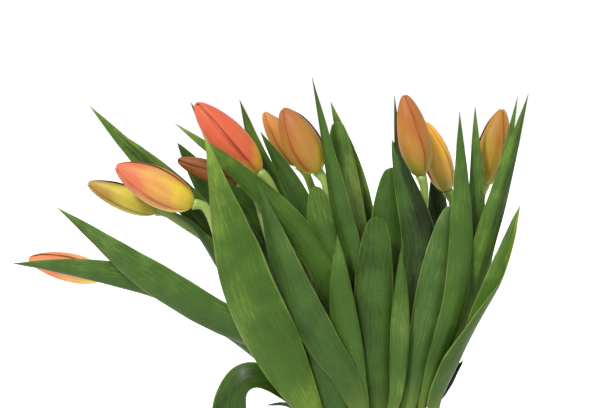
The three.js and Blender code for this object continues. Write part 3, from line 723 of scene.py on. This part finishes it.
# ---------------------------------------------------------------- petals

def bud_profile(along):
    """A closed bud's radius as a share of its widest: a sine of a warped length, which is round at
    the base, widest below the middle and blunt at the tip."""
    return np.sin(np.pi * np.clip(along, 0.004, 0.996) ** 0.82) ** 0.56


def petal_sheet(bud, centre_angle, over, layer, reach, rng):
    """One petal as closed rings: a patch of the bud's egg between two angles that narrow from
    80 degrees each side of its middle to 50 at the tip. Its radius is the egg's plus the layer's
    offset, a sine rise towards the side that lies over the next petal, a cosine bulge and a bell
    curve's rib at its own middle, and a sine ripple that grows with the square of v. The shade
    field is a painted shadow: a bell curve round the line where the next petal's margin lies over
    this one."""
    base, tip = np.array(bud["base"], float), np.array(bud["tip"], float)
    length = np.linalg.norm(tip - base)
    axis = (tip - base) / length
    front = np.array([0.0, -1.0, 0.0]) + axis * axis[1]
    front /= np.linalg.norm(front)
    beside = np.cross(axis, front)

    along = (1 - np.cos(np.linspace(0, np.pi, PETAL_ROWS)))[:, None] / 2
    v = np.sin(np.linspace(-np.pi / 2, np.pi / 2, PETAL_COLUMNS))
    ring_v = np.concatenate([v, v[-2:0:-1]])[None, :]
    face_sign = np.concatenate([np.ones(len(v)), -np.ones(len(v) - 2)])[None, :]
    thickness = PETAL_THICKNESS * (1 - ring_v**4) + PETAL_EDGE
    lift = face_sign * thickness * np.where(np.abs(ring_v) >= 1, 0, 1)

    half_angle = np.radians(np.interp(along, PETAL_PLACES, PETAL_HALF_ANGLES))
    margin_drift = 0.03 * np.sin(2 * np.pi * (1.3 * along + rng.uniform())) * np.abs(ring_v)
    angle = np.radians(centre_angle) + ring_v * (half_angle + margin_drift)
    radius = bud["width"] / 2 * bud_profile(along * reach)
    overlap = over * ring_v * OVERLAP_RISE * np.sin(np.pi * np.clip(along, 0.05, 0.95))
    bulge = 0.035 * radius * np.cos(ring_v * np.pi)
    rib = RIB_RISE * np.exp(-(ring_v / RIB_WIDTH) ** 2) * np.sin(np.pi * along)
    waves = np.sin(6 * np.pi * along + 5 * ring_v + rng.uniform(0, 6))
    ripple = RIPPLE_RISE * waves * np.abs(ring_v) ** 2
    distance = np.maximum(0.25, radius + overlap + bulge + rib + ripple + lift + layer)
    direction = front * np.cos(angle)[..., None] + beside * np.sin(angle)[..., None]
    centre = base + axis * (along[..., None] * length * reach)
    points = centre + direction * distance[..., None]
    around = ring_v.shape[1]
    uv = np.stack([ring_v * half_angle * bud["width"] / 2 * MM,
                   np.repeat(along * length * MM, around, axis=1)], axis=-1)
    # Painted shadow: the shade field peaks where the next petal's margin lies over this petal.
    covered = -over * ring_v - (np.radians(PETAL_SPACING) / half_angle - 1)
    fields = {
        "across": np.repeat(np.abs(ring_v), PETAL_ROWS, axis=0),
        "along": np.repeat(along, around, axis=1),
        "shade": np.exp(-(covered / SEAM_WIDTH) ** 2),
    }
    return points.reshape(-1, 3), around, uv.reshape(-1, 2), fields


def make_bud(bud, skin, rng):
    """Six petals: three inner ones, and three outer ones that lap like a spiral round the seam."""
    look = bud["look"]
    outer_start = look["seam"] + 72 * look["over"]
    for ring, (layer, offset) in enumerate(((-INNER_DROP, PETAL_SPACING / 2), (0.0, 0))):
        for number in range(3):
            angle = outer_start + offset + PETAL_SPACING * number
            reach = (0.975, 1.0)[ring] - rng.uniform(0, 0.015)
            points, around, uv, fields = petal_sheet(bud, angle, -look["over"], layer, reach, rng)
            quads = ring_faces(PETAL_ROWS, around)
            faces = quads.tolist() + end_caps(PETAL_ROWS, around)
            word = ("inner", "outer")[ring]
            make_piece(f"petal_{bud['name']}_{word}_{number + 1}", points, faces,
                       (skin,), "bud_" + bud["name"], fields, uv)


# ---------------------------------------------------------------- stems and vase

def make_stem(plant, skin):
    """A stem: rings carried along its curve. Their radius is the stem's own less one bell curve,
    for a neck, plus another, for a swelling just under the bud, times a faint cosine of three
    ridges that twist with height."""
    base, tip = np.array(plant["base"], float), np.array(plant["tip"], float)
    axis = (base - tip) / np.linalg.norm(base - tip)
    foot = (plant["rim"][0] * STEM_FOOT_SPREAD, plant["rim"][1] * STEM_FOOT_SPREAD,
            STEM_FOOT_HEIGHT)
    route = [foot, (*plant["rim"], VASE_HEIGHT), *plant["bend"], tuple(base + axis * BUD_NECK),
             tuple(base - axis * 0.8)]
    spine, tangent, length = smooth_curve(route, STEM_ROWS)
    share = np.linspace(0, 1, STEM_ROWS)[:, None]
    across = np.cross(tangent, (0.0, 1.0, 0.0))
    across /= np.linalg.norm(across, axis=1, keepdims=True)
    other = np.cross(tangent, across)
    angle = np.linspace(0, 2 * np.pi, STEM_SIDES, endpoint=False)[None, :]
    from_top = (1 - share) * length
    radius = STEM_RADIUS + 0.9 * np.exp(-(from_top / 4) ** 2) - 0.25 * np.exp(-((from_top - 14) / 9) ** 2)
    radius = radius * (1 + 0.03 * np.cos(3 * angle + 4 * share))
    points = (spine[:, None] + across[:, None] * (radius * np.cos(angle))[..., None]
              + other[:, None] * (radius * np.sin(angle))[..., None])
    uv = np.stack([np.repeat(np.cos(angle) * STEM_RADIUS * MM, STEM_ROWS, axis=0),
                   np.repeat(share * length * MM, STEM_SIDES, axis=1)], axis=-1)
    fields = {"along": np.repeat(share, STEM_SIDES, axis=1)}
    faces = ring_faces(STEM_ROWS, STEM_SIDES).tolist() + end_caps(STEM_ROWS, STEM_SIDES)
    return make_piece("stalk_" + plant["name"], points.reshape(-1, 3), faces, (skin,),
                      "stem_" + plant["name"], fields, uv.reshape(-1, 2))


def vase_outline():
    """The vase's closed section as radius and height: foot, belly and neck on one smooth curve,
    a rolled rim as a half circle, and the same curve one wall further in on the way down."""
    knots = ((FOOT_RADIUS, 0, 1.5), (FOOT_RADIUS + 8, 0, VASE_HEIGHT * 0.12),
             (BELLY_RADIUS, 0, VASE_HEIGHT * 0.4), (NECK_RADIUS + 4, 0, VASE_HEIGHT * 0.72),
             (NECK_RADIUS, 0, VASE_HEIGHT * 0.88), (RIM_RADIUS, 0, VASE_HEIGHT - WALL / 2))
    outside = smooth_curve(knots, 90)[0][:, (0, 2)]
    around_rim = np.linspace(0, np.pi, 12)[1:-1]
    rim = np.column_stack([RIM_RADIUS - WALL / 2 + WALL / 2 * np.cos(around_rim),
                           VASE_HEIGHT - WALL / 2 + WALL / 2 * np.sin(around_rim)])
    inside = (outside - (WALL, 0))[::-1]
    inside = inside[inside[:, 1] > FLOOR_THICKNESS + 3]
    bottom = ((0.01, 0.0), (FOOT_RADIUS - 2.5, 0.0), (FOOT_RADIUS - 0.7, 0.4))
    well = ((FOOT_RADIUS - WALL, FLOOR_THICKNESS), (0.01, FLOOR_THICKNESS))
    return np.vstack([bottom, outside, rim, inside, well])


def make_vase(skin):
    """The vase: its section turned full circle, with throwing rings of a tenth of a millimetre."""
    outline = vase_outline()
    angle = np.linspace(0, 2 * np.pi, VASE_SIDES, endpoint=False)[None, :]
    radius, height = outline[:, 0:1], outline[:, 1:2]
    rings = 0.12 * np.sin(height / 2.1) * (radius > FOOT_RADIUS - 1)
    distance = radius + rings
    points = np.stack([distance * np.cos(angle), distance * np.sin(angle),
                       np.repeat(height, VASE_SIDES, axis=1)], axis=-1)
    rows = len(outline)
    faces = ring_faces(rows, VASE_SIDES).tolist() + end_caps(rows, VASE_SIDES)
    uv = np.stack([np.repeat(angle * 0.05, rows, axis=0),
                   np.repeat(height * MM, VASE_SIDES, axis=1)], axis=-1)
    return make_piece("thrown_vase", points.reshape(-1, 3), faces, (skin,), "vase", {},
                      uv.reshape(-1, 2))


# ---------------------------------------------------------------- stage

def add_sun(name, place, strength, softness, colour):
    """A distant lamp that shines from a place towards the origin, as wide as its softness in
    degrees."""
    data = bpy.data.lights.new(name, "SUN")
    data.energy = strength
    data.angle = math.radians(softness)
    data.color = colour
    lamp = bpy.data.objects.new(name, data)
    bpy.context.scene.collection.objects.link(lamp)
    lamp.location = place
    lamp.rotation_euler = direction_to(place, (0.0, 0.0, 0.0))


def direction_to(place, aim):
    """The turn that points an object's -Z from a place to its aim."""
    return (Vector(aim) - Vector(place)).to_track_quat("-Z", "Y").to_euler()


def make_floor():
    """A wide flat table top, a square grid just under the vase's foot."""
    side = np.linspace(-FLOOR_HALF, FLOOR_HALF, FLOOR_STEPS)
    x, y = np.meshgrid(side, side)
    points = np.stack([x, y, np.full_like(x, -FLOOR_GAP)], axis=-1).reshape(-1, 3)
    row, column = np.meshgrid(*[np.arange(FLOOR_STEPS - 1)] * 2, indexing="ij")
    here = (row * FLOOR_STEPS + column).ravel()
    faces = np.stack([here, here + 1, here + FLOOR_STEPS + 1, here + FLOOR_STEPS], axis=-1)
    mesh = bpy.data.meshes.new("table_top")
    mesh.from_pydata(points.tolist(), [], faces.tolist())
    mesh.materials.append(floor_material())
    floor = bpy.data.objects.new("table_top", mesh)
    bpy.context.scene.collection.objects.link(floor)


def make_camera():
    """A long lens a metre in front, a little above, aimed at the flowers."""
    data = bpy.data.cameras.new("view")
    data.lens = LENS_MM
    data.sensor_width = SENSOR_MM
    camera = bpy.data.objects.new("view", data)
    bpy.context.scene.collection.objects.link(camera)
    down = math.radians(CAMERA_DOWN)
    camera.location = (CAMERA_AIM[0], -CAMERA_DISTANCE * math.cos(down),
                       CAMERA_AIM[2] + CAMERA_DISTANCE * math.sin(down))
    camera.rotation_euler = direction_to(camera.location, CAMERA_AIM)
    bpy.context.scene.camera = camera


def make_light(settings):
    """A soft-edged sunny key from the upper left in front of the vase, a weak cool fill from the
    right, and a white surround that lights the shadows."""
    scene = bpy.context.scene
    add_sun("key", (-0.55, -0.75, 0.95), settings.key_strength, 7.0, (1.0, 0.965, 0.90))
    add_sun("fill", (0.9, -0.8, 0.35), settings.fill_strength, 40.0, (0.93, 0.97, 1.0))
    world = bpy.data.worlds.new("white surround")
    world.use_nodes = True
    background = world.node_tree.nodes["Background"]
    background.inputs["Color"].default_value = (1.0, 1.0, 1.0, 1.0)
    background.inputs["Strength"].default_value = settings.surround
    scene.world = world
    scene.view_settings.view_transform = "Standard"
    scene.view_settings.look = "None"


# ---------------------------------------------------------------- add-on

class BouquetSettings(bpy.types.PropertyGroup):
    """What a user may change before building."""
    # The dark and light leaf colours are painted shade and painted light, the two ends of the leaf
    # greens.
    shaded_leaf_colour: bpy.props.StringProperty(
        name="Dark leaf", description="sRGB hex colour of the darkest leaves", default="101c06")
    leaf_middle: bpy.props.StringProperty(
        name="Middle leaf", description="sRGB hex colour of most leaves", default="35500f")
    lit_leaf_colour: bpy.props.StringProperty(
        name="Light leaf", description="sRGB hex colour of the lightest leaves", default="7f9430")
    bloom: bpy.props.FloatProperty(
        name="Bloom", description="Strength of the pale bloom on the backs of the leaves",
        default=0.01, min=0, max=1, subtype="FACTOR")
    key_strength: bpy.props.FloatProperty(
        name="Key lamp", description="Strength of the sunny lamp", default=3.6, min=0)
    fill_strength: bpy.props.FloatProperty(
        name="Fill lamp", description="Strength of the soft fill lamp", default=0.35, min=0)
    surround: bpy.props.FloatProperty(
        name="Surround", description="Brightness of the white surround", default=1.02, min=0)


class TULIPS_OT_vase(bpy.types.Operator):
    """Build the glazed vase"""
    bl_idname = "tulips.vase"
    bl_label = "Vase"

    def execute(self, context):
        make_vase(glaze_material())
        return {"FINISHED"}


class TULIPS_OT_stems(bpy.types.Operator):
    """Build the stems"""
    bl_idname = "tulips.stems"
    bl_label = "Stems"

    def execute(self, context):
        skin = stem_material()
        for plant in TULIPS:
            make_stem(plant, skin)
        return {"FINISHED"}


class TULIPS_OT_buds(bpy.types.Operator):
    """Build the six petals of every bud"""
    bl_idname = "tulips.buds"
    bl_label = "Buds"

    def execute(self, context):
        rng = np.random.default_rng(SEED)
        for plant in TULIPS:
            make_bud(plant, petal_material(plant["look"]), rng)
        return {"FINISHED"}


class TULIPS_OT_leaves(bpy.types.Operator):
    """Build the leaves"""
    bl_idname = "tulips.leaves"
    bl_label = "Leaves"

    def execute(self, context):
        settings = context.scene.bouquet_settings
        rng = np.random.default_rng(SEED + 1)
        upper = leaf_material("glossy_leaf_hollow_side", settings, 0.40, settings.bloom / 2)
        lower = leaf_material("bloomed_leaf_back", settings, 0.48, settings.bloom)
        for shape in LEAVES:
            make_leaf(shape, upper, lower, rng)
        return {"FINISHED"}


class TULIPS_OT_stage(bpy.types.Operator):
    """Set up the table top, lamps and camera"""
    bl_idname = "tulips.stage"
    bl_label = "Stage"

    def execute(self, context):
        make_floor()
        make_light(context.scene.bouquet_settings)
        make_camera()
        return {"FINISHED"}


class TULIPS_PT_panel(bpy.types.Panel):
    """Buttons for each part of the bouquet"""
    bl_label = "Tulips in a Vase"
    bl_idname = "TULIPS_PT_panel"
    bl_space_type = "VIEW_3D"
    bl_region_type = "UI"
    bl_category = "Tulips"

    def draw(self, context):
        settings = context.scene.bouquet_settings
        for name in BouquetSettings.__annotations__:
            self.layout.prop(settings, name)
        for operator in OPERATORS:
            self.layout.operator(operator.bl_idname)


OPERATORS = (TULIPS_OT_stage, TULIPS_OT_vase, TULIPS_OT_stems, TULIPS_OT_buds, TULIPS_OT_leaves)
CLASSES = (BouquetSettings, *OPERATORS, TULIPS_PT_panel)


def register():
    for item in CLASSES:
        bpy.utils.register_class(item)
    bpy.types.Scene.bouquet_settings = bpy.props.PointerProperty(type=BouquetSettings)


def unregister():
    del bpy.types.Scene.bouquet_settings
    for item in reversed(CLASSES):
        bpy.utils.unregister_class(item)


def main():
    register()
    bpy.ops.tulips.stage()
    bpy.ops.tulips.vase()
    bpy.ops.tulips.stems()
    bpy.ops.tulips.buds()
    bpy.ops.tulips.leaves()


if __name__ == "__main__":
    main()
